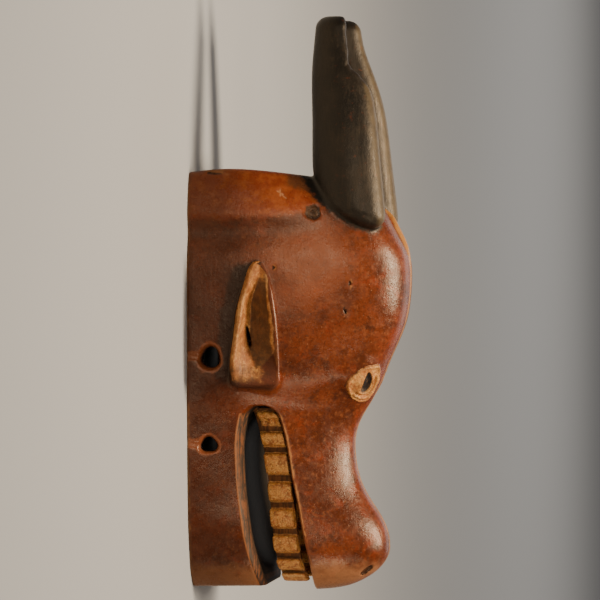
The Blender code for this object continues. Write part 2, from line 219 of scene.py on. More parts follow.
def mouth(x, h, z, inside):
    """The gap between the jaws; inside is how far a point is under the cheek's surface."""
    a = behind_jaw(h, z, inside) * 0.98
    b = (z - lip(h)) * 0.97
    top = h - MOUTH_TOP
    gap = np.maximum(both(a, top, MOUTH_ROUND), both(b, top, MOUTH_ROUND))
    under = np.maximum(h - CHIN_RISE, z - lip(np.zeros_like(h)))
    return np.minimum(gap, under)


TROUGH_DEPTH = 8.5
TROUGH_LOW = CHIN_RISE + 12.0
TROUGH_HIGH = MOUTH_TOP - 9.0
JAW_LIP = 12.0


def round_end(distance, radius):
    return np.sqrt(1 - (1 - np.clip(distance / radius, 0, 1)) ** 2)


def trough(x, h, z):
    end = np.minimum(round_end(h - TROUGH_LOW, 22.0), round_end(TROUGH_HIGH - h, 22.0))
    front = jaw_front(h)
    side = (half_width(h, front) - JAW_LIP) * (0.35 + 0.65 * end)
    deep = TROUGH_DEPTH * (0.1 + 0.9 * end)
    middle = oval(x, z - front, side, deep)
    ends = np.maximum(TROUGH_LOW - h, h - TROUGH_HIGH)
    return both(middle, ends, 3.0)


# Teeth: lower and upper end of each, how far it stands out, how much of it is worn away
TEETH = (
    (7.6, 14.2, 0.0, 0.4),
    (16.6, 24.9, 0.3, 0.0),
    (30.2, 42.4, 0.0, 0.3),
    (48.2, 61.6, 0.2, 0.0),
    (67.3, 80.8, -0.1, 0.2),
    (87.0, 102.0, 0.1, 0.0),
    (107.8, 117.6, -0.4, 0.8),
    (123.4, 134.5, -1.6, 2.4),
)
TOOTH_THICK = 12.5
TOOTH_DEEP = 18.0
TOOTH_INSET = 4.0


def tooth_face(h):
    return half_width(h, lip(h)) - TOOTH_INSET


def rounded_block(a, b, c, half_a, half_b, half_c, radius):
    past = [np.abs(a) - half_a + radius, np.abs(b) - half_b + radius, np.abs(c) - half_c + radius]
    outside = np.sqrt(sum(np.maximum(q, 0) ** 2 for q in past))
    return outside + np.minimum(np.maximum.reduce(past), 0) - radius


def gums(x, h, z):
    face = tooth_face(h)
    front = z - tooth_edge(h) - 0.2 - TOOTH_DEEP / 2
    return rounded_block(np.abs(x) - face + 6.4, h - 72.0, front, 3.2, 64.0, TOOTH_DEEP / 2, 0.8)


def teeth(x, h, z):
    """Two rows of worn blocks, and a broken one at the top of each."""
    across = np.abs(x)
    face = tooth_face(h)
    edge = tooth_edge(h)
    side = np.sign(x)
    found = np.full_like(x, 9.0)
    for number, (low, high, out, worn) in enumerate(TEETH):
        middle = (low + high) / 2
        half = (high - low) / 2
        near = np.abs(h - middle) < half + 4
        if not near.any():
            continue
        up, forward = h[near], z[near]
        lean = 0.35 * math.sin(number * 2.3) * side[near]
        swell = 1.3 * (1 - np.clip(np.abs(up - middle) / half, 0, 1) ** 2)
        swell += 0.8 * (1 - np.clip(np.abs(forward - edge[near] - 7) / 8, 0, 1) ** 2)
        swell += 0.25 * np.sin(up * 0.9 + number) * np.sin(forward * 0.7 + 2 * number)
        a = across[near] - face[near] - out - lean + TOOTH_THICK / 2 - swell / 2
        c = forward - edge[near] - worn - TOOTH_DEEP / 2 + 0.5
        block = rounded_block(a, up - middle, c, TOOTH_THICK / 2 + swell / 2, half,
                              TOOTH_DEEP / 2, 1.8)
        if worn > 2:
            ragged = 1.4 * np.sin(up * 0.8 + 1.3) + 0.9 * np.sin(forward * 1.1 + up * 0.5)
            block += np.clip(1.2 + ragged, 0, 3) * 0.8
        found[near] = np.minimum(found[near], block)
    return found


# Horns
HORN_FOOT = 0.871 * HEAD
HORN_LENGTH = 155.5
HORN_HALF_THICK = 17.5
HORN_HALF_BROAD = 25.5
# Share of the length, place across and in depth, and how thick and how broad the horn is there
HORN_ROWS = np.array((
    (0.000, 0.514, 0.772, 0.86, 0.79),
    (0.071, 0.507, 0.757, 0.96, 0.91),
    (0.174, 0.493, 0.735, 1.00, 1.00),
    (0.315, 0.470, 0.720, 0.99, 0.99),
    (0.457, 0.435, 0.711, 0.94, 0.95),
    (0.598, 0.388, 0.697, 0.87, 0.90),
    (0.740, 0.330, 0.674, 0.79, 0.78),
    (0.862, 0.277, 0.655, 0.70, 0.63),
    (1.000, 0.243, 0.649, 0.62, 0.53)))
_horn_at = HORN_FOOT + HORN_ROWS[:, 0] * HORN_LENGTH
horn_across = spline(_horn_at, HORN_ROWS[:, 1] * HALF_WIDTH)
horn_depth = spline(_horn_at, HORN_ROWS[:, 2] * DEPTH)
horn_thick = spline(_horn_at, HORN_ROWS[:, 3] * HORN_HALF_THICK)
horn_broad = spline(_horn_at, HORN_ROWS[:, 4] * HORN_HALF_BROAD)
HORN_TILT = 0.28


def horn_frame(x, h, z):
    """Where a point lies in a horn: height along it, and place across and along its oval."""
    along = z - horn_depth(h)
    level = h
    for _ in range(3):
        tilt = HORN_TILT * np.clip((LENGTH - level) / HORN_LENGTH, 0, 1.1)
        level = h + tilt * along
        along = z - horn_depth(level)
    return level, np.abs(x) - horn_across(level), along


def horns(x, h, z):
    level, across, along = horn_frame(x, h, z)
    tube = oval(across, along, horn_thick(level), horn_broad(level))
    tube = both(tube, (HORN_FOOT + 0.5 - level) * 0.96, 13.0)
    return both(tube, level - LENGTH + 0.3, 8.5)


def horn_chip(x, h, z):
    """What broke off the front of the right horn."""
    foot = HORN_FOOT + 0.76 * HORN_LENGTH
    behind = 111.6 - 0.30 * (x + 29) + 0.4 * np.sin(h * 0.21) + 0.2 * np.sin(h * 0.57 + x * 0.4)
    ledge = foot - 0.93 * (z - behind) + 0.7 * np.sin(x * 0.55) + 0.5 * np.sin(z * 0.9 + 1.0)
    return np.maximum(np.maximum(behind - z, (ledge - h) * 0.73), x + 0.5)


# Ears
EAR_FOOT = 0.492 * HEAD
EAR_LENGTH = 91.0
EAR_TURN = math.radians(29)
EAR_PLACE = 0.333 * DEPTH
EAR_HALF = 18.5
EAR_KEEL = 24.0
ear_outline = spline((0.000, 0.080, 0.247, 0.396, 0.617, 0.750, 0.880, 0.950, 1.000),
                     (0.920, 0.960, 0.950, 0.860, 0.720, 0.585, 0.430, 0.310, 0.130))
ear_drift = spline((0.0, 0.25, 0.40, 0.62, 0.75, 0.88, 1.0), (-0.8, -0.4, 0.5, 1.0, 1.7, 2.3, 2.4))


def ear_frame(x, h, z):
    """Where a point lies in an ear: share of its length, across it and inwards from its rim."""
    share = (h - EAR_FOOT) / EAR_LENGTH
    centre = half_width(h, EAR_PLACE) + 13.0
    out = np.abs(x) - centre
    forward = z - EAR_PLACE
    across = -out * math.sin(EAR_TURN) + forward * math.cos(EAR_TURN)
    inward = -out * math.cos(EAR_TURN) - forward * math.sin(EAR_TURN)
    return share, across - ear_drift(np.clip(share, 0, 1)), inward


def ears(x, h, z):
    share, across, inward = ear_frame(x, h, z)
    breadth = ear_outline(np.clip(share, 0, 1)) * EAR_HALF
    keel = EAR_KEEL * np.minimum(1, breadth / EAR_HALF + 0.25)
    hull = oval(across, inward, breadth, keel)
    hull = both(both(hull, -inward, 1.2), -share * EAR_LENGTH, 4.5)
    return both(hull, (share - 1) * EAR_LENGTH, 1.5)


def ear_bowl_frame(x, h, z):
    """Place in an ear's hollow: along it, across it from its valley, inwards, and its depth."""
    share, across, inward = ear_frame(x, h, z)
    inner = share * EAR_LENGTH / (EAR_LENGTH - 4.0)
    breadth = ear_outline(np.clip(inner, 0, 1)) * EAR_HALF
    fade = ramp(0.02, 0.36, inner) * ramp(1.04, 0.60, inner)
    deep = 0.8 + 11.7 * fade
    valley = across + 0.8 - 2.0 * (1 - fade) + 0.4 * np.sin(h * 0.21)
    left = np.maximum(breadth - 2.8 + 1.4 * ramp(0.5, 0.9, inner), 0.6)
    right = np.maximum(breadth - 2.6 + 0.8, 0.6)
    ragged = 0.3 * np.sin(h * 0.55 + 1.0) * np.sin(h * 0.23)
    slope = np.where(valley < 0, valley / (left + ragged), valley / (right + 0.6 * ragged))
    return inner, slope, inward, deep


def ear_bowls(x, h, z):
    """The ear's hollow: two slopes that meet in a valley, running out flat at the foot."""
    inner, slope, inward, deep = ear_bowl_frame(x, h, z)
    v = np.clip(inward, 0, None) / deep
    reach = (np.abs(slope) ** 1.25 + v ** 1.25) ** (1 / 1.25)
    bowl = (reach - 1) * 6.0
    bowl = np.where(inward < 0, np.maximum(bowl, (np.abs(slope) - 1) * 8.0), bowl)
    return both(bowl, np.maximum(-0.06 - inner, inner - 1) * (EAR_LENGTH - 4.0), 1.0)


# Eyes
EYE_HEIGHT = 153.4
EYE_DEPTH = 122.6
EYE_ROLL = math.radians(45)


def eye_axes(side):
    """The eye's centre on the head, with its outward, long and short directions."""
    h0 = np.array([EYE_HEIGHT])
    z0 = np.array([EYE_DEPTH])
    step = 2.0
    w = half_width(h0, z0)[0]
    here = np.array([side * w, EYE_HEIGHT, EYE_DEPTH])
    up = np.array([side * (half_width(h0 + step, z0)[0] - w), step, 0.0])
    forward = np.array([side * (half_width(h0, z0 + step)[0] - w), 0.0, step])
    outward = np.cross(up, forward) * side
    outward /= np.linalg.norm(outward)
    forward /= np.linalg.norm(forward)
    up = np.cross(forward, outward) * side
    long_way = math.cos(EYE_ROLL) * forward + math.sin(EYE_ROLL) * up
    short_way = -math.sin(EYE_ROLL) * forward + math.cos(EYE_ROLL) * up
    return here, outward, long_way, short_way


EYES = {side: eye_axes(side) for side in (RIGHT, LEFT)}


def eye_frame(x, h, z):
    """Long and short place of a point in the eye on its own side, and how far it stands out."""
    long_place = np.empty_like(x)
    short_place = np.empty_like(x)
    out = np.empty_like(x)
    for side in (RIGHT, LEFT):
        own = (x < 0) if side == RIGHT else (x >= 0)
        here, outward, long_way, short_way = EYES[side]
        offset = np.stack((x[own], h[own], z[own])) - here[:, None]
        long_place[own] = long_way @ offset
        short_place[own] = short_way @ offset
        out[own] = outward @ offset
    return long_place, short_place, out


def eye_ring(long_place, short_place):
    """Reach from the eye's middle, 1 at the edge of its plate, a drop that points forward and up."""
    turn = np.degrees(np.arctan2(short_place + 1.0, long_place))
    size = line((-180, -142, -105, -60, -10, 16, 40, 95, 126, 153, 180),
                (12.8, 14.3, 17.6, 16.0, 15.2, 18.2, 15.8, 14.6, 16.6, 14.2, 12.8), turn)
    ragged = 0.010 * np.sin(turn * 0.21) + 0.007 * np.sin(turn * 0.47 + 1.0)
    return np.sqrt(long_place ** 2 + (short_place + 1.0) ** 2) / size + ragged


PUPIL_TURN = math.radians(52)


def pupil_reach(long_place, short_place):
    """Reach from the middle of the slit, 1 at its edge; it narrows upwards."""
    a = long_place - 2.1
    b = short_place + 0.3
    along = a * math.cos(PUPIL_TURN) + b * math.sin(PUPIL_TURN)
    aside = -a * math.sin(PUPIL_TURN) + b * math.cos(PUPIL_TURN)
    return np.sqrt((along / 9.2) ** 2 + (aside / np.clip(4.2 - 0.14 * along, 2.2, 5.4)) ** 2)


def eye_relief(x, h, z):
    """How far the eye stands out of the head at a point."""
    a, b, out = eye_frame(x, h, z)
    reach = eye_ring(a, b)
    near = ramp(26.0, 14.0, np.abs(out))
    front = ramp(2.0, -9.0, b)
    plate = (2.3 - 1.2 * front) * ramp(1.04, 0.95, reach)
    hollow = -0.9 * ramp(0.93, 0.80, reach)
    ball = (1.3 - 0.5 * front) * ramp(0.80, 0.25, reach)
    folds = -1.3 * np.sin(reach * 22.0) * ramp(0.40, 0.55, reach) * ramp(1.0, 0.88, reach)
    folds *= ramp(-0.5, -4.0, b)
    slit = -2.6 * ramp(1.10, 0.62, pupil_reach(a, b))
    above = ramp(-1.0, 5.0, b) * ramp(-17.0, -9.0, a) * ramp(21.0, 10.0, a)
    lid = 1.7 * ramp(0.99, 1.08, reach) * ramp(1.80, 1.12, reach) * above
    crease = -0.5 * ramp(0.045, 0.0, np.abs(reach - 1.01)) * above
    return (plate + hollow + ball + folds + slit + lid + crease) * near


# The hollow back
WALL = 13.0
_hollow_h = [WALL + (MOUTH_TOP - WALL) * s for s in (0, 0.25, 0.5, 0.75, 1.0)]
_hollow_z = [float(jaw_front(v)) - TROUGH_DEPTH - 10.0 for v in _hollow_h]
for _up, _deep in ((0.22, 0.78), (0.42, 0.99), (0.62, 1.0), (0.80, 0.86), (0.93, 0.60)):
    _hollow_h.append(MOUTH_TOP + _up * (HEAD - MOUTH_TOP))
    _hollow_z.append(92.2 * _deep)
hollow_depth = spline(_hollow_h, _hollow_z)


def hollow(x, h, z):
    """The carver's scooping, with the marks of a curved adze in rows across it."""
    end = np.minimum(round_end(h - WALL, 26.0), round_end(HEAD - WALL - h, 26.0))
    side = np.maximum((half_width(h, np.zeros_like(h)) - WALL) * (0.55 + 0.45 * end), 5.0)
    deep = np.maximum(hollow_depth(h) * (0.5 + 0.5 * end), 4.0)
    a = np.abs(x) / side
    b = np.clip(z, 0, None) / deep
    reach = np.maximum((a ** 3.4 + b ** 3.4) ** (1 / 3.4), 0.05)
    steep = np.sqrt(((a / reach) ** 2.4 / side) ** 2 + ((b / reach) ** 2.4 / deep) ** 2)
    bowl = (reach - 1) / np.maximum(steep, 1e-3)
    row = h / 15.0 + 0.18 * np.sin(x * 0.13 + 0.7) + 0.12 * np.sin(z * 0.16)
    whole = np.floor(row)
    part = row - whole - 0.5
    around = (x + 0.55 * z * np.sign(x)) / 13.0 + 0.37 * np.sin(whole * 2.1)
    piece = around - np.floor(around) - 0.5
    bowl += 1.5 * (part ** 2 + 0.8 * piece ** 2) - 0.35
    ends = np.maximum(WALL - h, h - HEAD + WALL)
    return both(bowl, ends, 10.0)


# Lashing holes: height, depth from the back, half-width along and up
HOLES = ((173.2, 16.4, 6.4, 7.6), (109.8, 14.6, 5.6, 5.2))


def lashing_hole(x, h, z, hole):
    """A bored hole, wider at its mouth and worn towards the back edge by the cord."""
    height, place, wide, tall = hole
    outside = np.abs(x) - half_width(h, z)
    flare = 1 + 0.32 * ramp(-5.0, 1.5, outside)
    wobble = 0.5 * np.sin(np.arctan2(h - height, z - place) * 3 + height)
    bore = oval(z - place, h - height, wide * flare + wobble, tall * flare + wobble)
    groove = oval(h - height - 0.006 * (place - z) ** 2, outside, 2.0, 0.7)
    groove = np.maximum(groove, z - place)
    inner = np.maximum(bore, 42.0 - np.abs(x))
    return either(inner, np.maximum(groove, -3.0 - outside), 1.2)


def slit(x, h, z, depth, height, run, rise, half_long, half_wide, deep):
    """A narrow crack or cut in the head's side, given by its place and slope."""
    dz = z - depth
    dh = h - height
    along = dz * run + dh * rise
    aside = -dz * rise + dh * run
    outside = np.abs(x) - half_width(h, z)
    return np.maximum(oval(aside, along, half_wide, half_long), -deep - outside)


# Cuts: depth from the back, height, slope in depth and height, half-length, half-width and how
# deep it goes. The cracks are on the right side only.
CRACKS = (
    (115.8, 227.0, 0.10, 0.99, 2.2, 0.55, 3.0),
    (112.0, 207.5, -0.30, 0.95, 2.5, 0.50, 3.0),
    (62.5, 238.6, 0.05, 1.00, 1.3, 0.60, 3.0),
)
NOSTRIL = (123.6, 15.6, 0.78, 0.62, 5.4, 1.5, 3.2)


def ear_crack(x, h, z):
    """A drying crack in the back wall of the right ear's hollow."""
    aside = z - 44.4 + 0.15 * (h - 187.7)
    return np.maximum(np.abs(aside) - 1.2 * (1 - ((h - 187.7) / 9.4) ** 2), -78.0 - x)


def top_crack(x, h, z):
    """A drying crack that runs from the collar's right side just under its upper edge."""
    drop = h - 306.8 + 0.05 * (z - 18)
    return np.maximum(oval(z - 18.3, drop, 5.6, 0.5), -3.0 - head(x, h, z))


def top_notch(x, h, z):
    """A small nick in the collar's upper edge."""
    return np.maximum(oval(z - 64.5, h - 309.6, 3.4, 1.7 + 0.3 * np.sin(z * 2.0)), x + 52.0)


def crest_relief(x, h, z):
    """The ridge that runs down the forehead from a point between the horns."""
    side = 4.4 * ramp(286, 268, h) + 0.6
    rise = 2.8 * ramp(287, 276, h) * ramp(234, 268, h)
    return rise * np.clip(1.15 - (np.abs(x) / side) ** 2, 0, 1)


def above_collar(h, z):
    """Height above the collar's lower edge, which rises towards the forehead."""
    return h - line((0, 40, 70, 92, 110), (273.0, 274.5, 277.0, 280.0, 284.0), z)


def collar_relief(x, h, z):
    """The collar stands a little proud of the temples, with a soft hollow below its edge."""
    above = above_collar(h, z)
    return 0.4 * ramp(-10.0, 8.0, above) - 0.5 * ramp(-26.0, -8.0, above) * ramp(9.0, -9.0, above)


def tool_relief(x, h, z):
    """Slight unevenness left by the adze and smoothed by rubbing."""
    wave = np.sin(h / 6.1 + 0.6 * np.sin(z / 9.0)) * np.sin(z / 7.3 + 0.5 * np.sin(h / 11.0) + x / 40)
    return 0.16 * wave + 0.22 * np.sin(h / 15.0 + x / 23) * np.sin(z / 13.0 - h / 31)


KNOT_HEIGHT = 278.8
KNOT_DEPTH = 89.6


def from_knot(h, z):
    return np.sqrt((z - KNOT_DEPTH) ** 2 + (h - KNOT_HEIGHT) ** 2)


def knot_relief(x, h, z):
    """A knot in the wood beside the right horn."""
    turn = np.arctan2(h - KNOT_HEIGHT, z - KNOT_DEPTH)
    away = from_knot(h, z) + 0.5 * np.sin(3 * turn + 1) + 0.3 * np.sin(5 * turn)
    ring = -(1.2 + 0.6 * np.cos(turn + 1.0)) * ramp(1.5, 0.0, np.abs(away - 4.6))
    grain = -0.7 * ramp(4.2, 1.0, away) * (1 + np.sin(2.1 * (z + h)))
    return np.where(x < 0, ring + grain, 0)


# Shallow scratches that meet on the collar beside the right horn, and small chips along the
# mouth: the ends of each, in depth and height
SCRATCHES = (((63.8, 294.2), (68.4, 291.6)), ((66.0, 295.2), (66.4, 290.6)),
             ((67.4, 291.4), (70.4, 289.0)),
             ((76.2, 81.6), (77.8, 79.2)), ((77.0, 72.8), (78.6, 70.6)), ((33.2, 86.2), (35.2, 84.8)))


def scratch_reach(x, h, z):
    """Distance to the nearest scratch, on the right side only."""
    found = np.where(x < 0, 20.0, 40.0)
    for (z0, h0), (z1, h1) in SCRATCHES:
        length = math.hypot(z1 - z0, h1 - h0)
        along = np.clip(((z - z0) * (z1 - z0) + (h - h0) * (h1 - h0)) / length, 0, length)
        aside = np.hypot(z - z0 - along * (z1 - z0) / length, h - h0 - along * (h1 - h0) / length)
        found = np.where(x < 0, np.minimum(found, aside), found)
    return found


def scratch_relief(x, h, z):
    return -0.3 * ramp(1.1, 0.2, scratch_reach(x, h, z))


def add_horns(d, x, h, z):
    horn = horns(x, h, z)
    broken = x < 6
    horn[broken] = without(horn[broken], horn_chip(x[broken], h[broken], z[broken]), 4.0)
    return either(d, horn, 3.2)


def add_ears(d, x, h, z):
    spread = 2.2 + 4.0 * ramp(40.0, 62.0, z) + 3.0 * ramp(164.0, 152.0, h)
    return without(either(d, ears(x, h, z), spread), ear_bowls(x, h, z), 1.0)


def field(x, h, z):
    """Signed distance to the mask's surface, negative inside the wood."""
    d = head(x, h, z)
    d = d - tool_relief(x, h, z) * ramp(-2.0, 6.0, z) * ramp(158, 146, z)

    def change(low, high, make):
        """Changes the distances of the points inside a box only."""
        near = ((x >= low[0]) & (x <= high[0]) & (h >= low[1]) & (h <= high[1])
                & (z >= low[2]) & (z <= high[2]))
        if near.any():
            d[near] = make(d[near], x[near], h[near], z[near])

    def swell(relief, low, high):
        change(low, high, lambda was, *at: was - relief(*at))

    def cut(shape, radius, low, high, *sizes):
        change(low, high, lambda was, *at: without(was, shape(*at, *sizes), radius))

    swell(crest_relief, (-12, 225, 90), (12, 300, 175))
    swell(collar_relief, (-90, 240, -5), (90, 320, 125))
    swell(knot_relief, (-80, 268, 80), (-30, 290, 100))
    swell(eye_relief, (-62, 122, 80), (62, 186, 160))
    swell(scratch_relief, (-90, 284, 58), (-40, 300, 77))
    d = both(d, h - top_edge(z), 4.0)
    d = both(d, -h, 2.0)
    change((-90, -20, -9), (90, 152, 110), lambda was, *at: without(was, mouth(*at, -was), 1.4))
    cut(trough, 2.5, (-70, 10, 18), (70, 140, 60))
    change((-66, -2, 34), (66, 150, 110),
           lambda was, *at: either(either(was, gums(*at), 0.5), teeth(*at), 0.6))
    change((-70, 250, 70), (70, 440, 160), add_horns)
    change((-100, 132, 12), (100, 262, 92), add_ears)
    cut(ear_crack, 0.4, (-100, 174, 42), (-60, 201, 54))
    cut(top_crack, 0.4, (-80, 302, 8), (0, 313, 33))
    cut(top_notch, 0.6, (-80, 304, 56), (-40, 314, 73))
    d = both(d, -z, 1.3)
    cut(hollow, 3.0, (-75, 0, -8), (75, 310, 105))
    for hole in HOLES:
        cut(lashing_hole, 1.0, (-90, hole[0] - 16, -8), (90, hole[0] + 16, 34), hole)
    for crack in CRACKS:
        cut(slit, 0.4, (-90, crack[1] - 8, crack[0] - 8), (0, crack[1] + 8, crack[0] + 8), *crack)
    cut(slit, 0.8, (-60, 5, 110), (60, 26, 140), *NOSTRIL)
    return d


# From the field to a mesh

GRID = 1.3
BLOCK = 4


def sample():
    """Distances on a regular grid, worked out only near the surface."""
    low = np.array([-91.0, -4.0, -4.0])
    high = np.array([91.0, 429.0, 160.0])
    coarse_step = GRID * BLOCK
    count = np.ceil((high - low) / coarse_step).astype(int)
    axes = [low[i] + coarse_step * (np.arange(count[i]) + 0.5) for i in range(3)]
    rough = field(*(a.ravel() for a in np.meshgrid(*axes, indexing="ij")))
    near = np.abs(rough) < coarse_step * 1.6
    fine = np.where(rough < 0, -9.0, 9.0).astype(np.float32).reshape(count)
    fine = fine.repeat(BLOCK, 0).repeat(BLOCK, 1).repeat(BLOCK, 2)
    blocks = np.array(np.unravel_index(np.flatnonzero(near), count)).T * BLOCK
    inner = np.array(np.meshgrid(*[np.arange(BLOCK)] * 3, indexing="ij")).reshape(3, -1).T
    cells = (blocks[:, None, :] + inner[None, :, :]).reshape(-1, 3)
    points = low + GRID * (cells + 0.5)
    fine[tuple(cells.T)] = field(*points.T)
    return low + GRID * 0.5, fine


def surface(origin, values):
    """Points and four-sided faces where the distances change sign."""
    solid = values < 0
    corners = [(i, j, k) for i in (0, 1) for j in (0, 1) for k in (0, 1)]
    size = np.array(values.shape) - 1
    count = np.zeros(size, np.uint8)
    for i, j, k in corners:
        count += solid[i:i + size[0], j:j + size[1], k:k + size[2]]
    cells = np.array(np.nonzero((count > 0) & (count < 8))).T
    number = np.full(size, -1, np.int32)
    number[tuple(cells.T)] = np.arange(len(cells))
    value = [values[tuple((cells + corner).T)].astype(float) for corner in corners]
    total = np.zeros((len(cells), 3))
    hits = np.zeros(len(cells))
    for a in range(8):
        for b in range(a + 1, 8):
            start, end = np.array(corners[a]), np.array(corners[b])
            if np.abs(start - end).sum() != 1:
                continue
            crosses = (value[a] < 0) != (value[b] < 0)
            share = value[a][crosses] / (value[a][crosses] - value[b][crosses])
            total[crosses] += start + (end - start) * share[:, None]
            hits[crosses] += 1
    points = origin + GRID * (cells + total / hits[:, None])
    faces = []
    for axis in range(3):
        other = [a for a in range(3) if a != axis]
        change = np.array(np.nonzero(np.diff(solid, axis=axis))).T
        keep = np.all((change[:, other] > 0) & (change[:, other] < size[other]), axis=1)
        change = change[keep]
        quad = []
        for u, v in ((1, 1), (0, 1), (0, 0), (1, 0)):
            cell = change.copy()
            cell[:, other[0]] -= u
            cell[:, other[1]] -= v
            quad.append(number[tuple(cell.T)])
        quad = np.stack(quad, axis=1)
        inward = solid[tuple(change.T)]
        if axis == 1:
            inward = ~inward
        quad[~inward] = quad[~inward][:, ::-1]
        faces.append(quad)
    return points, np.concatenate(faces)


def slope(points, step=0.25):
    """The field's value and gradient at each point, from the corners of a small tetrahedron."""
    here = np.zeros(len(points))
    grad = np.zeros(points.shape)
    for corner in ((1, -1, -1), (-1, -1, 1), (-1, 1, -1), (1, 1, 1)):
        corner = np.array(corner)
        value = field(*(points + step * corner).T)
        here += value / 4
        grad += value[:, None] * corner / (4 * step)
    return here, grad


def settle(points, rounds, limit):
    """Moves the points onto the surface."""
    for _ in range(rounds):
        here, grad = slope(points)
        size = np.maximum((grad ** 2).sum(axis=1), 0.05)
        move = -grad * (here / size)[:, None]
        length = np.linalg.norm(move, axis=1, keepdims=True)
        points = points + move * np.minimum(1, limit / np.maximum(length, 1e-9))
    return points


def mesh_from(name, points, faces):
    mesh = bpy.data.meshes.new(name)
    sizes = faces.shape[1]
    mesh.vertices.add(len(points))
    mesh.vertices.foreach_set("co", points.astype(np.float32).ravel())
    mesh.loops.add(faces.size)
    mesh.loops.foreach_set("vertex_index", faces.astype(np.int32).ravel())
    mesh.polygons.add(len(faces))
    mesh.polygons.foreach_set("loop_start", np.arange(0, faces.size, sizes, dtype=np.int32))
    mesh.update(calc_edges=True)
    mesh.validate()
    return mesh


def link(name, data):
    made = bpy.data.objects.new(name, data)
    bpy.context.scene.collection.objects.link(made)
    return made


def read_points(mesh):
    points = np.empty(len(mesh.vertices) * 3, np.float32)
    mesh.vertices.foreach_get("co", points)
    return points.reshape(-1, 3).astype(float)


def put_points(mesh, points):
    mesh.vertices.foreach_set("co", points.astype(np.float32).ravel())
    mesh.update()


def world(points):
    """From the field's millimetres to metres in the part's frame."""
    return (points - (0, LENGTH / 2, 0)) * MM


FINEST = 190000


def thin(piece, triangles):
    """Fewer, unequal triangles: large where the wood is plain, small where it is worked."""
    modifier = piece.modifiers.new("thin", "DECIMATE")
    modifier.ratio = triangles / (2 * len(piece.data.polygons))
    graph = bpy.context.evaluated_depsgraph_get()
    made = bpy.data.meshes.new_from_object(piece.evaluated_get(graph))
    piece.modifiers.clear()
    piece.data = made


# Where the carving is finest: boxes in distance from the middle, height and depth
FINE = (
    ((8, 126, 92), (62, 182, 150)),
    ((66, 144, 26), (100, 248, 78)),
    ((26, -6, 34), (76, 144, 92)),
    ((4, 370, 96), (46, 398, 130)),
    ((50, 100, -4), (90, 184, 30)),
    ((36, 6, 108), (66, 26, 142)),
    ((40, 300, 8), (78, 313, 30)),
    ((50, 286, 60), (76, 299, 76)),
)


def split_fine(mesh):
    """Splits the faces where the carving is finest."""
    points = read_points(mesh)
    points[:, 0] = np.abs(points[:, 0])
    fine = np.zeros(len(points), bool)
    for low, high in FINE:
        fine |= np.all((points > low) & (points < high), axis=1)
    made = bmesh.new()
    made.from_mesh(mesh)
    made.verts.ensure_lookup_table()
    edges = [edge for edge in made.edges
             if fine[edge.verts[0].index] and fine[edge.verts[1].index]]
    bmesh.ops.subdivide_edges(made, edges=edges, cuts=1, use_grid_fill=True)
    made.to_mesh(mesh)
    made.free()


def build_mask():
    points, quads = surface(*sample())
    mesh = mesh_from("carved_mask", points, quads)
    split_fine(mesh)
    put_points(mesh, settle(read_points(mesh), 1, 0.6))
    piece = link("carved_mask", mesh)
    thin(piece, FINEST)
    points = settle(read_points(piece.data), 2, 0.3)
    put_points(piece.data, world(points))
    piece.data.shade_smooth()
    return piece, points


mask, mask_points = build_mask()


# What the material reads: distances in millimetres and shares, kept with each vertex

def closeness(points, normals, reach):
    """Towards 1 in grooves for a reach outwards, and on edges for one below 0, into the wood."""
    return np.clip(1 - field(*(points + normals * reach).T) / reach, 0, 1)


def horn_zone(x, h, z):
    """Above 0 on the horns and on the head round them, where the black paint spread."""
    return 3.2 + 6.5 * ramp(106, 84, z) - horns(x, h, z)


def horn_wear(x, h, z):
    """1 along the horns' fronts, where they are rubbed and lighter also as a painted highlight, and
    along their backs, darkened as painted shade.
    """
    level, _, along = horn_frame(x, h, z)
    place = along / horn_broad(level)
    on_horn = h > HORN_FOOT - 12
    return ramp(0.50, 0.98, place) * on_horn, ramp(0.15, -0.85, place) * on_horn


def crest_zone(x, h, z):
    """Above 0 along the middle of the face, a strip that starts as a point between the horns; its pale
    ochre is bare wood and also painted rim light along the forehead's and nose's outline.
    """
    side = line((150, 190, 228, 250, 270, 288), (2.5, 3.5, 5.0, 6.0, 5.2, 0.4), h)
    return np.where((z > 90) & (h < 292), side - np.abs(x), -20)


def knot_zone(x, h, z):
    return np.where(x < 0, 6.0 - from_knot(h, z), -20)


def ear_zone(x, h, z):
    """Above 0 in the ears' hollows, and the share of painted shade on their front walls, with plain
    brown at their feet.
    """
    inner, slope_place, inward, deep = ear_bowl_frame(x, h, z)
    foot = ramp(0.33, 0.12, inner)
    right_limit = (1 - 0.8 * foot - slope_place) * (12 - 9 * foot)
    standing = ramp(1.0, 2.5, head(x, h, z))
    left_limit = (1.24 + 1.9 * ramp(0.55, 0.95, inner) + slope_place) * 12
    left_limit = left_limit + 60 * ramp(0.85, 0.95, inner) * standing
    zone = np.minimum.reduce([
        left_limit + 0.3, right_limit + 0.3, inward + 1.0,
        deep + 1.6 + 5.0 * ramp(0.5, 0.9, inner) - inward,
        (inner - 0.06) * 14, (1.12 + 0.4 * standing - inner) * 80])
    zone = np.where(np.abs(x) > 55, zone, -20)
    # Painted shade on the hollow's front wall, where light does not reach; brown mottling at the foot.
    dark = ramp(-0.08, 0.10, slope_place) * ramp(1.02, 0.80, slope_place)
    dark = dark * ramp(0.04, 0.24, inner) * ramp(1.0, 0.78, inner)
    return zone, np.maximum(dark, 0.55 * ramp(0.34, 0.10, inner))


def ear_soot(x, h, z):
    """The share of painted shadow, the ear's cast shadow, in the corner behind each ear, towards the
    mask's flat back.
    """
    share, across, _ = ear_frame(x, h, z)
    beside = -across - ear_outline(np.clip(share, 0, 1)) * EAR_HALF
    soot = ramp(9.5, 4.0, beside) * ramp(-9.0, -3.0, beside) * (np.abs(x) > 50)
    return soot * ramp(-0.04, 0.10, share) * ramp(1.08, 0.92, share)


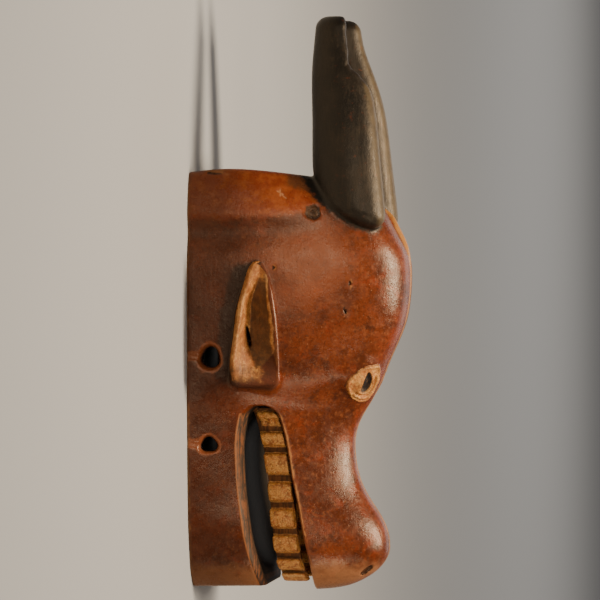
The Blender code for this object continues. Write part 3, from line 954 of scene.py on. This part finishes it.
def eye_zone(x, h, z):
    """Above 0 on the eyes' plates, and the same for their pupils."""
    a, b, out = eye_frame(x, h, z)
    on_head = np.abs(out) < 9
    return (np.where(on_head, (1.0 - eye_ring(a, b)) * 14, -20),
            np.where(on_head, (1.0 - pupil_reach(a, b)) * 3.2, -20))


def lip_zone(x, h, z, under):
    """Above 0 on the bevelled lip of the jaw."""
    away = np.abs(behind_jaw(h, z, under))
    zone = np.minimum(np.minimum(1.2 - away, 11.0 - under), (MOUTH_TOP - 5.0 - h) * 0.4)
    return np.where(under > -0.6, zone, -20)


def rim_zone(x, h, z):
    """1 at the mouths of the lashing holes, where the cord rubbed the paint away."""
    away = np.minimum(*(lashing_hole(x, h, z, hole) for hole in HOLES))
    return ramp(3.4, 0.5, away) * (np.abs(x) > 55) * (z < 36)


def burnished_zone(x, h, z):
    """1 where the temples and brow are rubbed brightest and given a painted sheen, fading around it."""
    return ramp(1.25, 0.35, np.sqrt(((z - 86) / 40) ** 2 + ((h - 240) / 42) ** 2))


def stain_zone(x, h, z):
    """Above 0 in the brown stain on the collar behind each horn."""
    return 1 - np.sqrt(((z - 84) / 17) ** 2 + ((h - 303) / 10) ** 2)


def keep(mesh, **zones):
    for name, values in zones.items():
        layer = mesh.attributes.new(name, "FLOAT", "POINT")
        layer.data.foreach_set("value", np.ascontiguousarray(values, np.float32))


def bounded(values):
    return np.clip(values, -20, 20)


def keep_zones(mesh, points):
    normals = slope(points)[1]
    normals /= np.maximum(np.linalg.norm(normals, axis=1, keepdims=True), 1e-6)
    x, h, z = points.T
    across = np.abs(x)
    on_jaws = (h < 142) & (z < 100)
    under = np.clip(-np.maximum(head(x, h, z), h - top_edge(z)), -5, 40)
    ear, ear_dark = ear_zone(x, h, z)
    eye, pupil = eye_zone(x, h, z)
    tooth = np.where(on_jaws & (h < 140), 1.0 - teeth(x, h, z), -20)
    front, back = horn_wear(x, h, z)
    near_eye = ramp(1.8, 1.2, eye_ring(*eye_frame(x, h, z)[:2])) * (z > 90)
    keep(mesh,
         horn=bounded(horn_zone(x, h, z)),
         # Rubbed horn fronts, lighter also as painted highlight, and horn backs darkened as painted
         # shade.
         horn_front=front,
         horn_back=back,
         broken=ramp(3.5, 1.0, np.abs(horn_chip(x, h, z))) * (h > HORN_FOOT + 90),
         pale=bounded(np.maximum(np.maximum(ear, eye), tooth)),
         ear=ramp(56.0, 60.0, across) * (h > 146),
         # Painted shade on the ears' front walls, and brown at their feet.
         ear_dark=ear_dark * (ear > -2),
         # The ears' outer sides, painted darker red as shade.
         ear_side=ramp(0.8, 3.0, head(x, h, z)) * (across > 56) * (np.abs(h - 200) < 60),
         # Painted shadow cast by each ear onto the head behind it.
         soot=ear_soot(x, h, z),
         pupil=pupil,
         gum=np.where(on_jaws, 1.2 - gums(x, h, z), -20),
         lip=lip_zone(x, h, z, under),
         collar=bounded(above_collar(h, z)),
         crest=crest_zone(x, h, z),
         knot=knot_zone(x, h, z),
         scratch=1.0 - scratch_reach(x, h, z),
         stain=stain_zone(x, h, z),
         rim=rim_zone(x, h, z),
         # Painted sheen with rubbing on the temples and brow.
         burnished=burnished_zone(x, h, z),
         # Lighter towards the muzzle's lower end: rubbed pigment and painted highlight.
         end=ramp(38.0, 8.0, h),
         # Painted shade: the red pigment darkens towards the mask's flat back.
         back=ramp(82.0, 4.0, z),
         raw=bounded(np.maximum(1.3 - np.abs(hollow(x, h, z)), 0.8 - z)),
         under=under,
         # Painted shade in grooves and creases, and in broader hollows.
         shelter=closeness(points, normals, 2.5) * (1 - 0.6 * near_eye),
         nook=closeness(points, normals, 14.0),
         edge=closeness(points, normals, -3.0))


keep_zones(mask.data, mask_points)


# Material

GRAIN_STRETCH = (1.0, 0.07, 1.0)


def tone(red, green, blue):
    """A colour from its 0 to 255 screen values."""
    share = np.array((red, green, blue)) / 255
    linear = np.where(share <= 0.04045, share / 12.92, ((share + 0.055) / 1.055) ** 2.4)
    return (*(float(v) for v in linear), 1.0)


class Nodes:
    """Adds nodes to one material and joins them."""

    def __init__(self, name):
        self.material = bpy.data.materials.new(name)
        self.material.use_nodes = True
        self.tree = self.material.node_tree
        self.shader = self.tree.nodes["Principled BSDF"]
        self.place = self.add("ShaderNodeTexCoord", {}).outputs["Object"]
        stretched = self.add("ShaderNodeMapping", {"Vector": self.place, "Scale": GRAIN_STRETCH})
        self.grain = self.noise(520, 3, 0.6, 0.3, stretched.outputs["Vector"])

    def put(self, socket, value):
        """Sets an input to a value, another node's output, or a zone given by its name."""
        if isinstance(value, str):
            value = self.zone(value)
        if isinstance(value, bpy.types.NodeSocket):
            self.tree.links.new(value, socket)
        else:
            socket.default_value = value

    def add(self, kind, inputs, **settings):
        made = self.tree.nodes.new(kind)
        for name, value in settings.items():
            setattr(made, name, value)
        for name, value in inputs.items():
            self.put(made.inputs[name], value)
        return made

    def zone(self, name):
        return self.add("ShaderNodeAttribute", {}, attribute_name=name).outputs["Fac"]

    def maths(self, operation, a, b=0.0, c=0.0):
        return self.add("ShaderNodeMath", {0: a, 1: b, 2: c}, operation=operation).outputs[0]

    def times(self, a, b):
        return self.maths("MULTIPLY", a, b)

    def plus(self, a, b):
        return self.maths("ADD", a, b)

    def ease(self, value, low, high, top=1.0, bottom=0.0):
        """bottom below low, top above high, eased between."""
        inputs = {"Value": value, "From Min": low, "From Max": high, "To Min": bottom, "To Max": top}
        made = self.add("ShaderNodeMapRange", inputs, interpolation_type="SMOOTHSTEP", clamp=True)
        return made.outputs["Result"]

    def noise(self, scale, detail=3.0, roughness=0.55, twist=0.0, place=None):
        inputs = {"Vector": self.place if place is None else place, "Scale": scale,
                  "Detail": detail, "Roughness": roughness, "Distortion": twist}
        return self.add("ShaderNodeTexNoise", inputs).outputs["Fac"]

    def dots(self, scale, size):
        """1 in small round spots, 0 between them."""
        inputs = {"Vector": self.place, "Scale": scale, "Randomness": 1.0}
        return self.ease(self.add("ShaderNodeTexVoronoi", inputs).outputs["Distance"], size, size * 0.5)

    def ragged(self, value, swing, *noise):
        """A value made uneven by up to swing each way."""
        return self.plus(value, self.maths("MULTIPLY_ADD", self.noise(*noise), 2 * swing, -swing))

    def mark(self, value, swing, noise, low, high, top):
        """The share of a mark with a ragged outline."""
        return self.ease(self.ragged(value, swing, *noise), low, high, top)

    def blend(self, share, a, b, kind="FLOAT", first=2, result=0):
        made = self.add("ShaderNodeMix", {0: share, first: a, first + 1: b}, data_type=kind)
        return made.outputs[result]

    def mix(self, share, *colours):
        """Two colours, each from other nodes or as screen values."""
        a, b = (tone(*c) if isinstance(c, tuple) else c for c in colours)
        return self.blend(share, a, b, "RGBA", 6, 2)

    def layers(self, colour, *rows):
        """A colour with others laid over it in turn, each with its share."""
        for share, over in rows:
            colour = self.mix(share, colour, over)
        return colour


def red_pigment(n):
    """Burnished red earth: patches, mottling, grain and rubbed edges, with a painted sheen on the
    temples, and painted shade below the collar, on the ears' outer sides, behind the ears, in grooves
    and hollows and towards the flat back.
    """
    collar = n.ragged("collar", 4.5, 90)
    orange = n.mix(n.ease(n.noise(140, 4, 0.6), 0.42, 0.66), (150, 62, 24), (178, 90, 37))
    # Painted shade in the soft hollow below the collar's lower edge.
    band = n.times(n.ease(collar, -18.0, -5.0), n.ease(collar, 1.0, -4.0))
    # Painted shade in grooves and hollows.
    grime = n.plus("shelter", n.times("nook", 0.5))
    return n.layers(
        n.mix(n.ease(n.noise(26, 2), 0.36, 0.64), (86, 37, 16), (120, 53, 23)),
        (n.ease(n.noise(62, 3, 0.6, 0.6), 0.52, 0.70, 0.75), (134, 53, 21)),
        (n.ease(n.noise(95, 4, 0.65), 0.50, 0.72, 0.75), (64, 32, 17)),
        (n.ease(n.noise(300, 4, 0.75), 0.50, 0.72, 0.55), (156, 88, 46)),
        (n.ease(n.noise(640, 3, 0.75), 0.48, 0.70, 0.65), (54, 25, 13)),
        (n.ease(n.grain, 0.52, 0.75, 0.4), (78, 38, 22)),
        # Painted sheen with rubbing: lighter on the temples and brow.
        (n.times("burnished", n.ease(n.noise(44, 3), 0.3, 0.6, 0.55, 0.15)), (156, 80, 42)),
        (n.ease(collar, -2.5, 3.0, 0.6), orange),
        # Painted shade below the collar's edge.
        (n.times(band, n.ease(n.noise(34), 0.35, 0.6, 0.65, 0.1)), (70, 39, 24)),
        (n.mark("stain", 0.7, (110, 4), 0.05, 0.55, 0.75), (90, 58, 32)),
        # Pale ochre crest: bare wood, and painted rim light along the outline.
        (n.mark("crest", 1.7, (160, 4), -0.8, 1.6, 0.85), (182, 122, 58)),
        (n.mark("edge", 0.75, (120, 4, 0.65), 0.62, 0.95, 0.7), (180, 118, 64)),
        # Painted shade: the ears' outer sides darker red.
        (n.times("ear_side", 0.7), (70, 30, 14)),
        (n.mark("scratch", 0.6, (260, 4, 0.65), 0.1, 1.0, 0.7), (196, 138, 92)),
        # Rubbed pigment and painted highlight at the muzzle's lower end.
        (n.mark("end", 0.5, (100, 4, 0.6), 0.35, 1.0, 0.7), (182, 122, 78)),
        # Painted shadow cast by the ears, brown deepening to near-black.
        (n.mark("soot", 0.4, (150, 4), 0.15, 0.70, 0.9), (32, 18, 11)),
        (n.mark("soot", 0.4, (150, 4), 0.60, 1.0, 0.9), (10, 7, 5)),
        (n.mark("knot", 2.5, (300, 3), -0.4, 1.2, 0.85), (62, 46, 28)),
        (n.times(n.dots(230, 0.10), 0.7), (52, 26, 12)),
        (n.times(n.dots(150, 0.06), 0.6), (206, 150, 100)),
        # Painted shade, darker towards the flat back.
        (n.ease("back", 0.0, 1.0, 0.7), (58, 27, 14)),
        # Painted shade in grooves and hollows.
        (n.ease(grime, 0.32, 0.95, 0.85), (46, 24, 14)),
        (n.mark("rim", 0.6, (170, 4, 0.6), 0.45, 1.0, 0.6), (146, 82, 50)))


def pale_wood(n):
    """Bare ochre wood in the ears, eyes and teeth, mottled brown and pitted, with painted shade in its
    grooves and on the ears' shaded walls.
    """
    # Dark brown for the ears' painted wall shade and for their feet.
    soot = n.mix(n.ease(n.noise(200, 4, 0.65), 0.42, 0.64), (64, 36, 14), (94, 54, 23))
    return n.layers(
        n.mix(n.ease(n.noise(120, 4, 0.6), 0.40, 0.62), (206, 140, 70), (184, 110, 54)),
        (n.ease(n.noise(260, 4, 0.7), 0.46, 0.62, 0.8), (132, 70, 32)),
        (n.ease(n.grain, 0.50, 0.70, 0.5), (146, 86, 36)),
        (n.ease(n.noise(700, 3, 0.7), 0.48, 0.66, 0.6), (230, 180, 104)),
        (n.ease(n.noise(950, 3, 0.7), 0.50, 0.68, 0.6), (112, 62, 30)),
        (n.times(n.dots(300, 0.16), 0.85), (70, 38, 16)),
        (n.ease("edge", 0.45, 0.90, 0.35), (232, 184, 118)),
        (n.times("ear", n.ease(n.noise(180, 4, 0.65), 0.40, 0.60, 0.85, 0.25)), (134, 74, 30)),
        # Painted shade on the ears' front walls, and brown mottling at their feet.
        (n.mark("ear_dark", 0.65, (130, 4, 0.65), 0.30, 0.85, 0.9), soot),
        # Painted shade in grooves.
        (n.ease("shelter", 0.35, 0.90, 0.75), (58, 30, 12)))


def lip_wood(n):
    """The jaw's lip: a rubbed orange edge, streaked wood, and an inner side darkened as painted shade
    deeper into the mouth.
    """
    return n.layers(
        n.mix(n.ease(n.grain, 0.44, 0.60), (38, 21, 11), (112, 62, 29)),
        (n.ease(n.noise(200, 4, 0.65), 0.46, 0.66, 0.8), (44, 24, 11)),
        # Painted shade, darker deeper into the mouth.
        (n.mark("under", 3, (130, 3), 4.0, 8.5, 0.93), (46, 30, 15)),
        (n.ease("under", 0.6, 0.2, 0.5), (170, 98, 44)))


def horn_paint(n):
    """Thin black paint over brown wood, rubbed along the horns' fronts and edges, the fronts lighter
    also as painted highlight and the backs darker as painted shade.
    """
    worn = n.maths("MAXIMUM", "edge", "horn_front")
    return n.layers(
        n.mix(n.ease(n.noise(60, 4, 0.6), 0.38, 0.66), (22, 19, 15), (37, 30, 22)),
        (n.ease(n.grain, 0.50, 0.76, 0.5), (60, 48, 33)),
        (n.ease(n.noise(380, 4, 0.7), 0.55, 0.75, 0.6), (24, 21, 18)),
        # Rubbed fronts and edges; the fronts also carry a painted highlight.
        (n.mark(worn, 0.55, (140, 4, 0.65), 0.40, 1.15, 0.7), (98, 80, 52)),
        # Painted shade on the horns' backs.
        (n.times("horn_back", 0.75), (15, 13, 11)),
        (n.times("broken", 0.8), (40, 31, 22)))


def raw_wood(n):
    """The unpainted back: brown wood with dark grain, greasy where a face rubbed it, with painted shade
    darkening its hollows.
    """
    return n.layers(
        n.mix(n.ease(n.noise(40, 3), 0.35, 0.65), (118, 80, 48), (96, 62, 36)),
        (n.ease(n.grain, 0.42, 0.66), (136, 96, 60)),
        (n.ease(n.noise(260, 4, 0.65), 0.52, 0.7, 0.6), (74, 46, 26)),
        (n.ease("edge", 0.4, 0.9, 0.5), (152, 112, 72)),
        # Painted shade in hollows.
        (n.ease("nook", 0.45, 1.0, 0.7), (52, 32, 19)))


def gum_wood(n):
    """Brown wood between the teeth, with painted shade in its grooves."""
    return n.layers(
        n.mix(n.ease(n.grain, 0.42, 0.64), (74, 42, 20), (110, 64, 30)),
        # Painted shade in the grooves.
        (n.ease("shelter", 0.2, 0.8, 0.8), (36, 20, 10)))


def carved_wood():
    """One material for the whole carving; the kept distances say which finish lies where."""
    n = Nodes("carved_wood")
    wander = n.maths("MULTIPLY_ADD", n.noise(210, 4, 0.65), 4.4, -2.2)

    def spread(name, soft, share):
        return n.ease(n.plus(name, n.times(wander, share)), -soft, soft)

    pale = spread("pale", 0.5, 0.45)
    lip = n.ease("lip", -0.2, 0.5)
    raw = spread("raw", 0.5, 0.15)
    horn = spread("horn", 2.4, 2.4)
    # Near-black on faces well under the head's outer surface, in the mouth and other recesses: painted
    # shade, with the mouth's blackened inside.
    deep = n.ease("under", 1.6, 6.0)
    iris = n.mix(n.ease(n.noise(420, 4, 0.7), 0.46, 0.66), (38, 32, 32), (98, 72, 50))
    colour = n.layers(
        red_pigment(n),
        # Painted shade and blackened wood deep in the mouth and recesses.
        (deep, (16, 9, 6)),
        (raw, raw_wood(n)),
        (lip, lip_wood(n)),
        (spread("gum", 0.6, 0.1), gum_wood(n)),
        (pale, pale_wood(n)),
        (spread("pupil", 0.35, 0.12), iris),
        (horn, horn_paint(n)))
    n.put(n.shader.inputs["Base Color"], colour)

    matt = n.ease(n.noise(150, 4, 0.6), 0.3, 0.7, 0.36, 0.22)
    matt = n.plus(matt, n.ease("edge", 0.30, 0.75, 0.30))
    matt = n.plus(matt, n.times("ear_side", 0.5))
    matt = n.blend(horn, matt, n.ease(n.grain, 0.35, 0.7, 0.52, 0.38))
    matt = n.blend(n.maths("MAXIMUM", pale, lip), matt, n.ease(n.grain, 0.3, 0.7, 0.66, 0.48))
    matt = n.blend(n.maths("MAXIMUM", raw, n.times(deep, n.maths("SUBTRACT", 1.0, pale))), matt, 0.78)
    n.put(n.shader.inputs["Roughness"], matt)
    n.put(n.shader.inputs["Specular IOR Level"], 0.42)
    n.put(n.shader.inputs["Specular Tint"], (1.0, 0.82, 0.62, 1.0))

    rough = n.times(n.noise(1100, 3, 0.65), 0.35)
    rough = n.plus(rough, n.times(n.grain, n.blend(n.maths("MAXIMUM", raw, pale), 0.25, 0.9)))
    rough = n.plus(rough, n.times(n.noise(240, 3, 0.6), 0.6))
    rough = n.maths("SUBTRACT", rough, n.times(n.dots(230, 0.10), 0.5))
    bump = n.add("ShaderNodeBump", {"Height": rough, "Strength": 0.6, "Distance": 0.0006})
    n.put(n.shader.inputs["Normal"], bump.outputs["Normal"])
    return n.material


mask.data.materials.clear()
mask.data.materials.append(carved_wood())

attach(mask, "root")
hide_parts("mask")


# Floor, light and camera

FLOOR_HALF = 6.0
# Name, place, what it points at, size, power and colour of each light
LIGHTS = (
    ("key", (-0.04, 0.12, 1.20), (0, 0, 0.1), (0.24, 0.6), 22, (1.0, 0.85, 0.66)),
    ("fill", (-1.80, 0.30, 0.85), (0, 0, 0.08), (0.7, 0.7), 10, (1.0, 0.88, 0.74)),
    ("low", (-0.8, -1.1, 0.75), (0, -0.15, 0.08), (0.25, 0.25), 4, (1.0, 0.88, 0.72)),
    ("far", (3.2, 0.3, 1.7), (3.0, 0, 0), (2.4, 3.0), 30, (1.0, 0.97, 0.93)),
)
SKY = (0.97, 0.96, 1.0, 1)
SKY_STRENGTH = 0.13


def add_floor():
    corners = ((-1, -1, 0), (1, -1, 0), (1, 1, 0), (-1, 1, 0))
    mesh = mesh_from("floor", FLOOR_HALF * np.array(corners), np.array([(0, 1, 2, 3)]))
    material = bpy.data.materials.new("pale_floor")
    material.use_nodes = True
    shader = material.node_tree.nodes["Principled BSDF"]
    shader.inputs["Base Color"].default_value = (0.46, 0.45, 0.43, 1)
    shader.inputs["Roughness"].default_value = 0.9
    mesh.materials.append(material)
    floor = link("floor", mesh)


def add_lights():
    for name, place, aim, size, power, colour in LIGHTS:
        light = bpy.data.lights.new(name, "AREA")
        light.shape = "RECTANGLE"
        light.size, light.size_y = size
        light.energy = power
        light.color = colour
        holder = link(name, light)
        holder.location = place
        holder.rotation_mode = "QUATERNION"
        holder.rotation_quaternion = (Vector(aim) - Vector(place)).to_track_quat("-Z", "Y")
    sky = bpy.data.worlds.new("studio")
    sky.use_nodes = True
    background = sky.node_tree.nodes["Background"]
    background.inputs["Color"].default_value = SKY
    background.inputs["Strength"].default_value = SKY_STRENGTH
    bpy.context.scene.world = sky


CAMERA_DISTANCE = 2.2
CAMERA_RISE = math.radians(9)
FRAME_HEIGHT = 0.450
AIM_UP = (215.0 - LENGTH / 2) * MM
AIM_FORWARD = 0.0707


def add_camera():
    """A long lens level with the right cheek, a little above the floor, turned so that the
    horns point up in the picture."""
    view = Vector((math.cos(CAMERA_RISE), 0, -math.sin(CAMERA_RISE)))
    up = Vector((0, 1, 0))
    right = view.cross(up)
    aim = Vector((0, AIM_UP, 0)) + right * AIM_FORWARD
    data = bpy.data.cameras.new("camera")
    data.sensor_fit = "HORIZONTAL"
    data.sensor_width = 36
    data.lens = data.sensor_width * CAMERA_DISTANCE / FRAME_HEIGHT
    camera = link("camera", data)
    turn = Matrix((right, up, -view)).transposed()
    camera.matrix_world = Matrix.Translation(aim - view * CAMERA_DISTANCE) @ turn.to_4x4()
    bpy.context.scene.camera = camera


add_floor()
add_lights()
add_camera()
